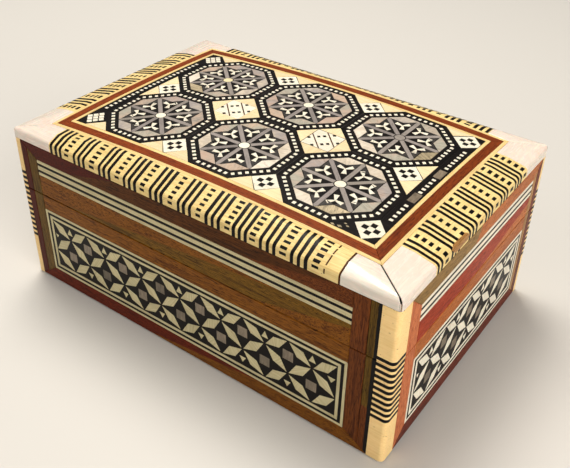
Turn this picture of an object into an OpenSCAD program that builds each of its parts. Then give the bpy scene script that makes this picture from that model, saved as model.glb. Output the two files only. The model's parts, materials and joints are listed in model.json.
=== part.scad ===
// Inlaid wooden box: a softwood carcass skinned with marquetry, sawn apart at the seam
// and hinged at the back. Millimetres, +Z up. The long front side faces -Y.
// The origin is the centre of the felt face the box rests on.

/* [Box] */
// Length of the box along X
box_length = 150; // [130:1:200]
// Depth of the box along Y
box_depth = 100; // [90:1:140]
// Height of the middle of the crowned lid
box_height = 66; // [64:0.5:72]
// Height of the seam between base and lid
seam_height = 38.4; // [37:0.2:42]

/* [Carcass] */
// Thickness of the carcass boards in the walls
wall_thick = 7.5; // [6:0.5:9]
// Thickness of the bottom board
bottom_thick = 5; // [4:0.5:7]
// Thickness of the strips and mosaics on the sides
veneer_thick = 1.5; // [1.4:0.1:2]
// Thickness of the mosaic and stringing on the lid
crown_thick = 2.2; // [1.8:0.1:2.6]
// Gap between base and lid when the box is shut
seam_gap = 0.3; // [0.2:0.05:0.5]
// Thickness of the felt under the box
felt_thick = 0.6; // [0.4:0.1:1]

/* [Side inlay] */
// Height of the top of the foot strips
foot_top = 6.2; // [5:0.1:8]
// Height of the top of the mosaic panels
panel_top = 32.4; // [31:0.2:35]
// Width of the stringing around a mosaic panel
stringing_w = 3; // [2.4:0.1:4]
// Height of the lower edge of the lid stringing
lid_stringing_low = 46.4; // [45:0.1:48]
// Height of the upper edge of the lid stringing
lid_stringing_high = 52.3; // [50:0.1:54]
// Height of the lower edge of the border band
band_low = 57.8; // [57:0.1:59]

/* [Lid inlay] */
// Width of the striped border bands along the front and back, measured level
band_long_w = 8.3; // [8:0.1:11]
// Width of the striped border bands along the two ends, measured level
band_short_w = 11; // [9:0.1:12]
// Height of the outer edge of the border bands
crease_height = 61.2; // [60.2:0.1:61.5]
// Length of the pearl plates at the corners
pearl_len = 18.5; // [15:0.5:22]
// Width of a cream line beside the mahogany frame
line_w = 1.25; // [0.8:0.05:1.6]
// Width of the mahogany frame
mahogany_w = 3.2; // [2.5:0.1:4.5]
// Radius of the sphere that the lid is crowned to
crown_radius = 900; // [850:10:1500]

/* [Hinges] */
// Distance of each hinge from the middle of the back
hinge_x = 44; // [30:1:55]
// Length of a hinge
hinge_len = 18; // [14:1:24]
// Outer diameter of the knuckles
knuckle_d = 2.4; // [2.2:0.1:2.8]
// Diameter of the hinge pins
pin_d = 1.2; // [1:0.1:1.4]
// Thickness of the hinge leaves
leaf_thick = 0.8; // [0.7:0.1:1]
// Diameter of the screw shanks
screw_d = 1.3; // [1:0.1:1.5]

/* [Lining] */
// Thickness of the velvet pads on the inside walls
lining_thick = 1.2; // [1:0.1:2]
// Thickness of the velvet pads on the floor and under the lid board
pad_thick = 2; // [1.5:0.1:3]

/* [Hidden] */
SIDES = ["front", "right", "back", "left"];
CORNERS = ["front_left", "front_right", "back_right", "back_left"];
$fn = 48;

// The sides and the corners are numbered in the order of SIDES and CORNERS. Corner n is
// the left end of side n, seen from outside.
FRONT = 0;
RIGHT = 1;
BACK = 2;
LEFT = 3;

// The corner sticks and the strips beside them are cut by eye, so each side has its own
// widths. A row is one side, and its two entries are the left end and the right end.
COLUMN_W = [[3.2, 5.5], [6, 3.2], [5.5, 5.5], [5.5, 5.5]];
PANEL_MARGIN = [[10.7, 14], [12.2, 9.5], [12, 12], [12, 12]];
INNER_STRIP_W = [[4.5, 5.2], [0, 3.2], [3.3, 3.3], [3.3, 3.3]];
UPPER_MITRED = [[true, false], [true, true], [true, true], [true, true]];

base_low = felt_thick;
base_high = seam_height - seam_gap / 2;
lid_low = seam_height + seam_gap / 2;
core_length = box_length - 2 * veneer_thick;
core_depth = box_depth - 2 * veneer_thick;
inside_length = core_length - 2 * wall_thick;
inside_depth = core_depth - 2 * wall_thick;
floor_top = base_low + bottom_thick;
lid_board_thick = 4;
lid_board_low = band_low - lid_board_thick;
centre_length = box_length - 2 * band_short_w;
centre_depth = box_depth - 2 * band_long_w;
mosaic_inset = 2 * line_w + mahogany_w;

// The knuckles lie flush with the back face. Both back edges are bevelled from the hinge
// axis outwards, and the bevels meet when the lid stands just past upright.
hinge_y = box_depth / 2 - knuckle_d / 2;
bevel_angle = 51.5;
knuckle_gap = 0.15;
running_fit = 0.05;
recess_r = knuckle_d / 2 + knuckle_gap;
knuckle_len = hinge_len / 3;
leaf_relief = 0.1;
leaf_root = hinge_y - recess_r - leaf_relief;
leaf_depth = 5;
pin_head_d = 1.8;
pin_head_thick = 0.3;
recess_end = 2 * pin_head_thick;
screw_x = 5.5;
screw_y = leaf_root - leaf_depth / 2;
screw_len = 6;
screw_head_d = 2.6;
screw_slot_w = 0.35;
screw_slot_depth = 0.3;

felt_inset = 1;
lining_below_rim = 1.5;
stick_gap = 0.06;
soft_gap = 0.15;
corner_round = 1.2;
beyond = 1;

// Heights of the crowned lid and slopes of the border bands, which run from the crease up
// to the crown. They pass a little over its inner edge, so the crown trims all of that edge.
band_over_crown = 0.1;
function crown_at(x, y) = box_height - crown_radius + sqrt(crown_radius ^ 2 - x ^ 2 - y ^ 2);
long_band_slope =
    (crown_at(0, centre_depth / 2) + band_over_crown - crease_height) / band_long_w;
short_band_slope =
    (crown_at(centre_length / 2, 0) + band_over_crown - crease_height) / band_short_w;

function side_length(side) = side % 2 == 0 ? box_length : box_depth;
function side_reach(side) = side % 2 == 0 ? box_depth / 2 : box_length / 2;
function column_edge(side, end) =
    (2 * end - 1) * (side_length(side) / 2 - COLUMN_W[side][end]);
function panel_edge(side, end) =
    (2 * end - 1) * (side_length(side) / 2 - PANEL_MARGIN[side][end]);
function strip_joint(side, end) =
    panel_edge(side, end) + (2 * end - 1) * INNER_STRIP_W[side][end];
function rectangle(u0, u1, v0, v1) = [[u0, v0], [u1, v0], [u1, v1], [u0, v1]];

// Places a child drawn on the front, with its outer surface at y = 0 and +y going into the
// box, on one of the four sides.
module on_side(side) {
    rotate([0, 0, 90 * side])
        translate([0, -side_reach(side), 0])
            children();
}

// A flat piece of side inlay whose outline is given along the side and upwards.
module skin(side, outline) {
    on_side(side)
        translate([0, veneer_thick, 0])
            rotate([90, 0, 0])
                linear_extrude(veneer_thick) polygon(outline);
}

// Turns a piece drawn for the base over the seam, for the lid.
module over_seam() {
    translate([0, 0, seam_height])
        mirror([0, 0, 1])
            translate([0, 0, -seam_height]) children();
}

// ---- Hinge recesses and bevels, drawn for the base ----

module at_hinges() {
    for (x = [-hinge_x, hinge_x])
        translate([x, 0, 0]) children();
}

module along_hinge_axis(length, radius) {
    translate([-length / 2, hinge_y, seam_height])
        rotate([0, 90, 0]) cylinder(h = length, r = radius);
}

module screw_shanks() {
    at_hinges()
        for (x = [-screw_x, screw_x])
            translate([x, screw_y, base_high - screw_len]) cylinder(h = screw_len, d = screw_d);
}

module leaf_plates(root) {
    at_hinges()
        translate([-hinge_len / 2, leaf_root - leaf_depth, base_high - leaf_thick])
            cube([hinge_len, root - leaf_root + leaf_depth, leaf_thick]);
}

module hinge_recess() {
    at_hinges() along_hinge_axis(hinge_len + 2 * recess_end, recess_r);
    leaf_plates(hinge_y);
    screw_shanks();
}

module back_bevel() {
    rise = knuckle_d * tan(bevel_angle);
    translate([-box_length / 2 - beyond, 0, 0])
        rotate([90, 0, 90])
            linear_extrude(box_length + 2 * beyond)
                polygon([
                    [hinge_y, seam_height],
                    [hinge_y + knuckle_d, seam_height - rise],
                    [hinge_y + knuckle_d, seam_height + beyond],
                    [hinge_y, seam_height + beyond]
                ]);
}

module back_clearance() {
    back_bevel();
    hinge_recess();
}

// ---- Carcass ----

// The space of a corner stick, from its outer corner inwards.
module column_space(corner, low, high) {
    side_before = (corner + 3) % 4;
    on_side(corner)
        translate([-side_length(corner) / 2, 0, low])
            cube([COLUMN_W[corner][0], COLUMN_W[side_before][1], high - low]);
}

// The front and back boards run the full length, and the end boards fit between them.
module wall_board(side, low, high) {
    length = side % 2 == 0 ? core_length : inside_depth;
    difference() {
        on_side(side)
            translate([-length / 2, veneer_thick, low])
                cube([length, wall_thick, high - low]);
        for (corner = [0:3]) column_space(corner, low - beyond, high + beyond);
    }
}

module base_wall(side) {
    color("burlywood")
        difference() {
            wall_board(side, base_low, base_high);
            if (side == BACK) hinge_recess();
        }
}

module base_bottom_board() {
    color("burlywood")
        translate([-inside_length / 2, -inside_depth / 2, base_low])
            cube([inside_length, inside_depth, bottom_thick]);
}

module lid_wall(side) {
    color("burlywood")
        difference() {
            wall_board(side, lid_low, lid_board_low);
            if (side == BACK) over_seam() hinge_recess();
        }
}

// The lid board has a raised middle, crowned like the mosaic that it carries.
module lid_top_board() {
    color("burlywood") {
        difference() {
            translate([-core_length / 2, -core_depth / 2, lid_board_low])
                cube([core_length, core_depth, lid_board_thick]);
            for (corner = [0:3]) column_space(corner, lid_board_low - beyond, band_low + beyond);
        }
        intersection() {
            translate([-centre_length / 2, -centre_depth / 2, lid_board_low])
                cube([centre_length, centre_depth, box_height - lid_board_low]);
            translate([0, 0, -crown_thick]) crown_cap();
        }
    }
}

// ---- Corner sticks ----

module column(corner, low, high) {
    side_before = (corner + 3) % 4;
    width = COLUMN_W[corner][0];
    depth = COLUMN_W[side_before][1];
    color("wheat")
        on_side(corner)
            translate([-side_length(corner) / 2, 0, low])
                linear_extrude(high - low) {
                    translate([corner_round, 0]) square([width - corner_round, depth]);
                    translate([0, corner_round]) square([width, depth - corner_round]);
                    translate([corner_round, corner_round]) circle(corner_round);
                }
}

module base_column(corner) {
    difference() {
        column(corner, base_low, base_high);
        back_bevel();
    }
}

module lid_column(corner) {
    difference() {
        column(corner, lid_low, band_low);
        over_seam() back_bevel();
    }
}

// ---- Side inlay ----

function foot_outline(side) = [
    [column_edge(side, 0), base_low],
    [column_edge(side, 1), base_low],
    [panel_edge(side, 1), foot_top],
    [panel_edge(side, 0), foot_top]
];

function upper_end(side, end) =
    UPPER_MITRED[side][end] ? column_edge(side, end) : panel_edge(side, end);

function upper_outline(side) = [
    [panel_edge(side, 0), lid_stringing_high],
    [panel_edge(side, 1), lid_stringing_high],
    [upper_end(side, 1), band_low],
    [upper_end(side, 0), band_low]
];

// A level strip between the two panel margins.
module level_strip(side, low, high) {
    skin(side, rectangle(panel_edge(side, 0), panel_edge(side, 1), low, high));
}

// The upright strips between the corner sticks and the panels.
module end_strips(side, low, high) {
    for (end = [0, 1]) {
        joint = strip_joint(side, end);
        outer_edge = column_edge(side, end);
        skin(side, rectangle(min(joint, outer_edge), max(joint, outer_edge), low, high));
        if (INNER_STRIP_W[side][end] > 0) {
            gap = (2 * end - 1) * stick_gap;
            inner_edge = panel_edge(side, end);
            skin(side, rectangle(
                min(joint - gap, inner_edge), max(joint - gap, inner_edge), low, high));
        }
    }
}

module base_mosaic(side) {
    color("dimgray")
        skin(side, rectangle(
            panel_edge(side, 0) + stringing_w, panel_edge(side, 1) - stringing_w,
            foot_top + stringing_w, panel_top - stringing_w));
}

// Four mitred lengths of stringing, with a glue line at each mitre.
module base_stringing(side) {
    length = panel_edge(side, 1) - panel_edge(side, 0);
    middle = (panel_edge(side, 1) + panel_edge(side, 0)) / 2;
    color("wheat")
        on_side(side)
            translate([middle, veneer_thick, (panel_top + foot_top) / 2])
                rotate([90, 0, 0])
                    linear_extrude(veneer_thick)
                        mitred_frame(length, panel_top - foot_top, stringing_w);
}

module base_upper_strips(sides) {
    color("peru")
        for (side = sides)
            difference() {
                level_strip(side, panel_top, base_high);
                if (side == BACK) back_clearance();
            }
}

module base_foot_strips() {
    color("saddlebrown")
        for (side = [0:3]) skin(side, foot_outline(side));
}

module base_end_strips() {
    color("sienna")
        for (side = [0:3])
            difference() {
                end_strips(side, base_low, base_high);
                skin(side, foot_outline(side));
                if (side == BACK) back_clearance();
            }
}

module lid_stringing(side) {
    color("wheat") level_strip(side, lid_stringing_low, lid_stringing_high);
}

module lid_upper_strips() {
    color("saddlebrown")
        for (side = [0:3]) skin(side, upper_outline(side));
}

module lid_lower_strips(sides) {
    color("peru")
        for (side = sides)
            difference() {
                level_strip(side, lid_low, lid_stringing_low);
                if (side == BACK) over_seam() back_clearance();
            }
}

module lid_end_strips() {
    color("sienna")
        for (side = [0:3])
            difference() {
                end_strips(side, lid_low, band_low);
                skin(side, upper_outline(side));
                if (side == BACK) over_seam() back_clearance();
            }
}

// ---- Lid inlay ----

// The slice of the crown sphere above the carcass.
module crown_cap() {
    cap_r = norm([box_length, box_depth]) / 2 + beyond;
    rotate_extrude($fn = 120)
        intersection() {
            translate([0, box_height - crown_radius]) circle(crown_radius, $fn = 2880);
            translate([0, lid_board_low]) square([cap_r, box_height - lid_board_low]);
        }
}

// A long roof that falls on both sides from the ridge to the crease.
module roof(span, length, slope) {
    run = (box_height - crease_height) / slope;
    translate([-length / 2 - beyond, 0, 0])
        rotate([90, 0, 90])
            linear_extrude(length + 2 * beyond)
                polygon([
                    [-span / 2, band_low],
                    [span / 2, band_low],
                    [span / 2, crease_height],
                    [span / 2 - run, box_height],
                    [run - span / 2, box_height],
                    [-span / 2, crease_height]
                ]);
}

// Everything of the lid above the side inlay.
module lid_top_form() {
    intersection() {
        crown_cap();
        roof(box_depth, box_length, long_band_slope);
        rotate([0, 0, 90]) roof(box_length, box_depth, short_band_slope);
    }
}

module border_band(side) {
    length = side_length(side) - 2 * pearl_len;
    width = side % 2 == 0 ? band_long_w : band_short_w;
    color("khaki")
        intersection() {
            lid_top_form();
            on_side(side)
                translate([-length / 2, 0, band_low])
                    cube([length, width, box_height - band_low]);
        }
}

// Two plates that meet in a mitre at the corner.
module pearl_corner(corner) {
    side_before = (corner + 3) % 4;
    width = corner % 2 == 0 ? band_long_w : band_short_w;
    width_before = corner % 2 == 0 ? band_short_w : band_long_w;
    color("whitesmoke")
        intersection() {
            lid_top_form();
            on_side(corner)
                translate([-side_length(corner) / 2, 0, band_low])
                    linear_extrude(box_height - band_low) {
                        polygon([
                            [stick_gap, 0],
                            [pearl_len, 0],
                            [pearl_len, width],
                            [width_before + stick_gap, width]
                        ]);
                        polygon([
                            [0, stick_gap],
                            [width_before, width + stick_gap],
                            [width_before, pearl_len],
                            [0, pearl_len]
                        ]);
                    }
        }
}

module mitred_frame(length, height, width) {
    for (turn = [0:3]) {
        across = turn % 2 == 0 ? length : height;
        reach = turn % 2 == 0 ? height / 2 : length / 2;
        rotate([0, 0, 90 * turn])
            polygon([
                [stick_gap - across / 2, -reach],
                [across / 2 - stick_gap, -reach],
                [across / 2 - width - stick_gap, width - reach],
                [width + stick_gap - across / 2, width - reach]
            ]);
    }
}

// A piece of the crowned skin over the raised middle of the lid board.
module crown_skin() {
    intersection() {
        difference() {
            crown_cap();
            translate([0, 0, -crown_thick]) crown_cap();
        }
        translate([0, 0, band_low]) linear_extrude(box_height) children();
    }
}

module crown_frame(inset, width) {
    crown_skin() mitred_frame(centre_length - 2 * inset, centre_depth - 2 * inset, width);
}

module outer_cream_frame() {
    color("cornsilk") crown_frame(0, line_w);
}

module mahogany_frame() {
    color("brown") crown_frame(line_w, mahogany_w);
}

module inner_cream_frame() {
    color("cornsilk") crown_frame(line_w + mahogany_w, line_w);
}

module top_mosaic() {
    color("gray")
        crown_skin()
            square([centre_length - 2 * mosaic_inset, centre_depth - 2 * mosaic_inset], center = true);
}

// ---- Linings and felt ----

module wall_linings(low, high) {
    for (side = [0:3]) {
        inside = side % 2 == 0 ? inside_length : inside_depth;
        length = inside - 2 * (lining_thick + 2 * soft_gap) * (side % 2);
        on_side(side)
            translate([soft_gap - length / 2, veneer_thick + wall_thick + soft_gap, low])
                cube([length - 2 * soft_gap, lining_thick, high - low]);
    }
}

module floor_sheet(low) {
    clearance = lining_thick + 2 * soft_gap;
    length = inside_length - 2 * clearance;
    depth = inside_depth - 2 * clearance;
    translate([-length / 2, -depth / 2, low]) cube([length, depth, pad_thick]);
}

module base_wall_linings() {
    color("darkred") wall_linings(floor_top + soft_gap, base_high - lining_below_rim);
}

module base_floor_pad() {
    color("darkred") floor_sheet(floor_top + soft_gap);
}

module lid_linings() {
    color("darkred") {
        wall_linings(lid_low + lining_below_rim, lid_board_low - soft_gap);
        floor_sheet(lid_board_low - soft_gap - pad_thick);
    }
}

module underside_felt() {
    color("darkgreen")
        translate([felt_inset - box_length / 2, felt_inset - box_depth / 2, 0])
            cube([box_length - 2 * felt_inset, box_depth - 2 * felt_inset, felt_thick]);
}

// ---- Hinges ----

// The two outer knuckles belong to the lower leaf and the middle one to the upper leaf.
module knuckle(offset, length, bore) {
    at_hinges()
        translate([offset, 0, 0])
            difference() {
                union() {
                    along_hinge_axis(length, knuckle_d / 2);
                    translate([-length / 2, leaf_root, base_high - leaf_thick])
                        cube([length, hinge_y - leaf_root, leaf_thick]);
                }
                along_hinge_axis(length + 2 * beyond, bore / 2);
            }
}

module leaf_body() {
    difference() {
        leaf_plates(leaf_root);
        screw_shanks();
        screw_heads();
    }
}

module hinge_lower_leaves() {
    color("goldenrod") {
        leaf_body();
        for (end = [-1, 1])
            knuckle(end * knuckle_len, knuckle_len, pin_d);
    }
}

module hinge_upper_leaves() {
    color("goldenrod")
        over_seam() {
            leaf_body();
            knuckle(0, knuckle_len - 2 * knuckle_gap, pin_d + 2 * running_fit);
        }
}

module hinge_pins() {
    color("darkgoldenrod")
        at_hinges() {
            along_hinge_axis(hinge_len, pin_d / 2);
            for (end = [-1, 1])
                translate([end * (hinge_len + pin_head_thick) / 2, 0, 0])
                    along_hinge_axis(pin_head_thick, pin_head_d / 2);
        }
}

module screw_heads() {
    head_depth = (screw_head_d - screw_d) / 2;
    at_hinges()
        for (x = [-screw_x, screw_x])
            translate([x, screw_y, base_high - head_depth])
                cylinder(h = head_depth, d1 = screw_d, d2 = screw_head_d);
}

module screws() {
    difference() {
        union() {
            screw_shanks();
            screw_heads();
        }
        at_hinges()
            for (x = [-screw_x, screw_x])
                translate([x - screw_head_d / 2, screw_y - screw_slot_w / 2, base_high - screw_slot_depth])
                    cube([screw_head_d, screw_slot_w, screw_slot_depth + beyond]);
    }
}

module hinge_screws_base() {
    color("gold") screws();
}

module hinge_screws_lid() {
    color("gold") over_seam() screws();
}

base_wall(FRONT);  // base_wall_front
base_wall(RIGHT);  // base_wall_right
base_wall(BACK);  // base_wall_back
base_wall(LEFT);  // base_wall_left
base_bottom_board();
base_column(FRONT);  // base_column_front_left
base_column(RIGHT);  // base_column_front_right
base_column(BACK);  // base_column_back_right
base_column(LEFT);  // base_column_back_left
base_mosaic(FRONT);  // base_mosaic_front
base_mosaic(RIGHT);  // base_mosaic_right
base_mosaic(BACK);  // base_mosaic_back
base_mosaic(LEFT);  // base_mosaic_left
base_stringing(FRONT);  // base_stringing_front
base_stringing(RIGHT);  // base_stringing_right
base_stringing(BACK);  // base_stringing_back
base_stringing(LEFT);  // base_stringing_left
base_upper_strips([FRONT, BACK]);  // base_upper_strips_long
base_upper_strips([RIGHT, LEFT]);  // base_upper_strips_short
base_foot_strips();
base_end_strips();
base_wall_linings();
base_floor_pad();
underside_felt();
hinge_lower_leaves();
hinge_pins();
hinge_screws_base();
lid_wall(FRONT);  // lid_wall_front
lid_wall(RIGHT);  // lid_wall_right
lid_wall(BACK);  // lid_wall_back
lid_wall(LEFT);  // lid_wall_left
lid_top_board();
lid_column(FRONT);  // lid_column_front_left
lid_column(RIGHT);  // lid_column_front_right
lid_column(BACK);  // lid_column_back_right
lid_column(LEFT);  // lid_column_back_left
lid_stringing(FRONT);  // lid_stringing_front
lid_stringing(RIGHT);  // lid_stringing_right
lid_stringing(BACK);  // lid_stringing_back
lid_stringing(LEFT);  // lid_stringing_left
lid_upper_strips();
lid_lower_strips([FRONT, BACK]);  // lid_lower_strips_long
lid_lower_strips([RIGHT, LEFT]);  // lid_lower_strips_short
lid_end_strips();
border_band(FRONT);  // border_band_front
border_band(RIGHT);  // border_band_right
border_band(BACK);  // border_band_back
border_band(LEFT);  // border_band_left
pearl_corner(FRONT);  // pearl_corner_front_left
pearl_corner(RIGHT);  // pearl_corner_front_right
pearl_corner(BACK);  // pearl_corner_back_right
pearl_corner(LEFT);  // pearl_corner_back_left
outer_cream_frame();
mahogany_frame();
inner_cream_frame();
top_mosaic();
lid_linings();
hinge_upper_leaves();
hinge_screws_lid();
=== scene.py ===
"""Inlaid wooden box: the marquetry, veneers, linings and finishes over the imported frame.

Marquetry is laid flat, one closed tile for each piece of bone, pearl or wood, and is then
bent over the surface it belongs to. Lengths in here are millimetres unless a name says
otherwise, and MM turns them into the frame's metres.
"""

import json
import math
import random

import bmesh
import bpy
from mathutils import Matrix, Vector, noise


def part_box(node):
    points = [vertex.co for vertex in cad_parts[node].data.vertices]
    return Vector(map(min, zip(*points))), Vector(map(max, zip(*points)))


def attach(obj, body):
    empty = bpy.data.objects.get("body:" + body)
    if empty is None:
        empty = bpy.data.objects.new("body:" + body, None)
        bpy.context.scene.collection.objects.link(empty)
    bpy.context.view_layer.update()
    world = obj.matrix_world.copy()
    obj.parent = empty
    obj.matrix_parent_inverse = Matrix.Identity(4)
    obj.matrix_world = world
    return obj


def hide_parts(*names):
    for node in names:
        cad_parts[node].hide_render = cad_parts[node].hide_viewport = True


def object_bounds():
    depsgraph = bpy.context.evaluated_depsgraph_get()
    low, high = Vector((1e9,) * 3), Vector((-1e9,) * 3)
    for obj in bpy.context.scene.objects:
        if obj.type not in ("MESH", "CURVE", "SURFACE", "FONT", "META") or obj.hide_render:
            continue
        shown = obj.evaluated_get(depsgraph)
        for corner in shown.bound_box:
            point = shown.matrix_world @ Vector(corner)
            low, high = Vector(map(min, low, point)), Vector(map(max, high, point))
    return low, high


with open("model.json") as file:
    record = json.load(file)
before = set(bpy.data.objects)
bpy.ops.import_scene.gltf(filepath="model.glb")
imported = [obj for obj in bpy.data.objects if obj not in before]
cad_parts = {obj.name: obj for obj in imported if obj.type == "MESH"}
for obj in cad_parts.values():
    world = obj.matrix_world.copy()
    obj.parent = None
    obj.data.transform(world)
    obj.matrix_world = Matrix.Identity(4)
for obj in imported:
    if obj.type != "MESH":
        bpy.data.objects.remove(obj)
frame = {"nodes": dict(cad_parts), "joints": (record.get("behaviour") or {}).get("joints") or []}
cad_low, cad_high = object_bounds()

MM = 0.001
FRONT, RIGHT, BACK, LEFT = range(4)
SIDES = ("front", "right", "back", "left")
CORNERS = ("front_left", "front_right", "back_right", "back_left")


def span(node):
    """Lowest and highest corner of a CAD node, in millimetres."""
    low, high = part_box(node)
    return low / MM, high / MM


# ---- Sizes read from the frame ----

HALF_X = cad_high.x / MM
HALF_Y = cad_high.y / MM
HEIGHT = cad_high.z / MM
BAND_LOW = span("border_band_front")[0].z
CENTRE_X = span("border_band_right")[0].x
CENTRE_Y = -span("border_band_front")[1].y
PEARL_LENGTH = HALF_X - span("border_band_front")[1].x
MOSAIC_X = span("top_mosaic")[1].x
MOSAIC_Y = span("top_mosaic")[1].y
PANEL_LOW = span("base_stringing_front")[0].z
PANEL_HIGH = span("base_stringing_front")[1].z
STRINGING_LOW = span("lid_stringing_front")[0].z
STRINGING_HIGH = span("lid_stringing_front")[1].z
HINGE_Y = frame["joints"][0]["pos_m"][1] / MM
HINGE_Z = frame["joints"][0]["pos_m"][2] / MM

# The crown, the crease and the back bevel have the sizes they have in the CAD.
CROWN_RADIUS = 900
CREASE_HEIGHT = 61.2
BAND_OVER_CROWN = 0.1
BEVEL_ANGLE = math.radians(51.5)
STRINGING_WIDTH = 3

# ---- Marquetry sizes ----

TILE_DEPTH = 1.1
TILE_BEVEL = 0.05
GLUE_GAP = 0.07
GROUND_DROP = 0.06
EDGE_ROUND = 1.6
BAND_ARC_CUTS = 7
BEND_STEP = 7
EDGE_STEP = 3


def crown(x, y):
    """Height of the crowned lid."""
    return HEIGHT - CROWN_RADIUS + math.sqrt(CROWN_RADIUS**2 - x * x - y * y)


def half_length(side):
    return HALF_Y if side % 2 else HALF_X


def reach(side):
    return HALF_X if side % 2 else HALF_Y


def turned(side, u, out, z):
    """The point u along a side, seen from outside, and out from the middle of the box."""
    x, y = ((u, -out), (out, u), (-u, out), (-out, -u))[side]
    return Vector((x, y, z))


def rounded(p):
    """Draws a point near an upright edge of the box in to the rounded edge."""
    over_x = abs(p.x) - (HALF_X - EDGE_ROUND)
    over_y = abs(p.y) - (HALF_Y - EDGE_ROUND)
    far = math.hypot(over_x, over_y)
    if over_x > 0 and over_y > 0 and far > EDGE_ROUND:
        p.x = math.copysign(HALF_X - EDGE_ROUND + over_x * EDGE_ROUND / far, p.x)
        p.y = math.copysign(HALF_Y - EDGE_ROUND + over_y * EDGE_ROUND / far, p.y)
    return p


def lid_surface(u, v, h):
    return Vector((u, v, crown(u, v) + h))


def plan_surface(u, v, h):
    return Vector((u, v, h))


def side_surface(side):
    return lambda u, v, h: turned(side, u, reach(side) + h, v)


class Band:
    """The section of a border band: a slope, a rounded edge and a low upright face."""

    def __init__(self, side):
        self.side = side
        inner = CENTRE_X if side % 2 else CENTRE_Y
        self.width = reach(side) - inner
        high = crown(inner, 0) + BAND_OVER_CROWN
        self.angle = math.atan((high - CREASE_HEIGHT) / self.width)
        self.arc_inset = EDGE_ROUND * (1 - math.sin(self.angle))
        self.arc_height = (
            CREASE_HEIGHT + EDGE_ROUND * math.tan(self.angle) - EDGE_ROUND / math.cos(self.angle)
        )
        self.arc_start = (self.width - self.arc_inset) / math.cos(self.angle)
        self.arc_end = self.arc_start + EDGE_ROUND * (math.pi / 2 - self.angle)
        self.length = self.arc_end + self.arc_height - BAND_LOW

    def cuts(self):
        """Where a tile has to bend on its way over the edge."""
        step = (self.arc_end - self.arc_start) / BAND_ARC_CUTS
        return [self.arc_start + step * i for i in range(BAND_ARC_CUTS + 1)]

    def surface(self, u, s, h):
        """The point u along the band and s down its section from the inner edge."""
        if s <= self.arc_start:
            tilt = self.angle
            inset = self.width - s * math.cos(tilt)
            z = CREASE_HEIGHT + inset * math.tan(tilt)
        elif s <= self.arc_end:
            tilt = self.angle + (s - self.arc_start) / EDGE_ROUND
            inset = EDGE_ROUND * (1 - math.sin(tilt))
            z = self.arc_height + EDGE_ROUND * math.cos(tilt)
        else:
            tilt = math.pi / 2
            inset = 0
            z = self.arc_height - (s - self.arc_end)
        p = turned(self.side, u, reach(self.side) - inset, z)
        p.z = min(p.z, crown(p.x, p.y))
        p += turned(self.side, 0, math.sin(tilt), math.cos(tilt)) * h
        return rounded(p)


# ---- Materials ----


def srgb(red, green, blue):
    """A colour given as 0 to 255, as the linear colour that shaders take."""
    linear = []
    for value in (red, green, blue):
        value /= 255
        linear.append(value / 12.92 if value < 0.04045 else ((value + 0.055) / 1.055) ** 2.4)
    return (*linear, 1)


class Finish:
    """A procedural material. Every method adds nodes and gives back an output socket."""

    def __init__(self, name, **sockets):
        self.material = bpy.data.materials.new(name)
        self.material.use_nodes = True
        self.tree = self.material.node_tree
        self.shader = self.tree.nodes["Principled BSDF"]
        for socket, value in sockets.items():
            self.shader.inputs[socket.replace("_", " ")].default_value = value

    def node(self, kind, inputs=(), **settings):
        made = self.tree.nodes.new("ShaderNode" + kind)
        for name, value in settings.items():
            setattr(made, name, value)
        for socket, value in dict(inputs).items():
            self.put(made.inputs[socket], value)
        return made

    def put(self, socket, value):
        if isinstance(value, bpy.types.NodeSocket):
            self.tree.links.new(value, socket)
        else:
            socket.default_value = value

    def link(self, socket, value):
        self.put(self.shader.inputs[socket], value)

    def grain(self, along, across):
        """Tile coordinates, stretched so the figure runs along the grain."""
        place = self.node("Attribute", attribute_name="grain").outputs["Vector"]
        return self.node("Mapping", {"Vector": place, "Scale": (along, across, across)}).outputs[0]

    def space(self, scale):
        """Coordinates of the whole object, for pieces that aren't tiles."""
        place = self.node("TexCoord").outputs["Object"]
        return self.node("Mapping", {"Vector": place, "Scale": scale}).outputs[0]

    def tone(self):
        return self.node("Attribute", attribute_name="tone").outputs["Fac"]

    def noise(self, vector, scale=1.0, detail=5.0, roughness=0.55, distortion=0.0):
        return self.node(
            "TexNoise",
            {
                "Vector": vector,
                "Scale": scale,
                "Detail": detail,
                "Roughness": roughness,
                "Distortion": distortion,
            },
        ).outputs["Fac"]

    def ramp(self, value, *stops):
        made = self.node("ValToRGB", {"Fac": value})
        elements = made.color_ramp.elements
        while len(elements) < len(stops):
            elements.new(0.5)
        for element, (place, colour) in zip(elements, stops):
            element.position = place
            element.color = colour
        return made.outputs["Color"]

    def range(self, value, low, high, from_low=0.0, from_high=1.0):
        return self.node(
            "MapRange",
            {
                "Value": value,
                "From Min": from_low,
                "From Max": from_high,
                "To Min": low,
                "To Max": high,
            },
        ).outputs[0]

    def shade(self, colour, brightness, saturation=1.0):
        return self.node(
            "HueSaturation", {"Color": colour, "Value": brightness, "Saturation": saturation}
        ).outputs[0]

    def blend(self, amount, first, second, kind="MIX"):
        made = self.node("Mix", data_type="RGBA", blend_type=kind)
        self.put(made.inputs["Factor"], amount)
        self.put(made.inputs[6], first)
        self.put(made.inputs[7], second)
        return made.outputs[2]

    def bump(self, height, strength, distance=0.05):
        made = self.node("Bump", {"Height": height, "Strength": strength, "Distance": distance * MM})
        self.link("Normal", made.outputs[0])


LACQUER = {"Coat_Weight": 0.02, "Coat_Roughness": 0.25, "Specular_IOR_Level": 0.08}


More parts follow.
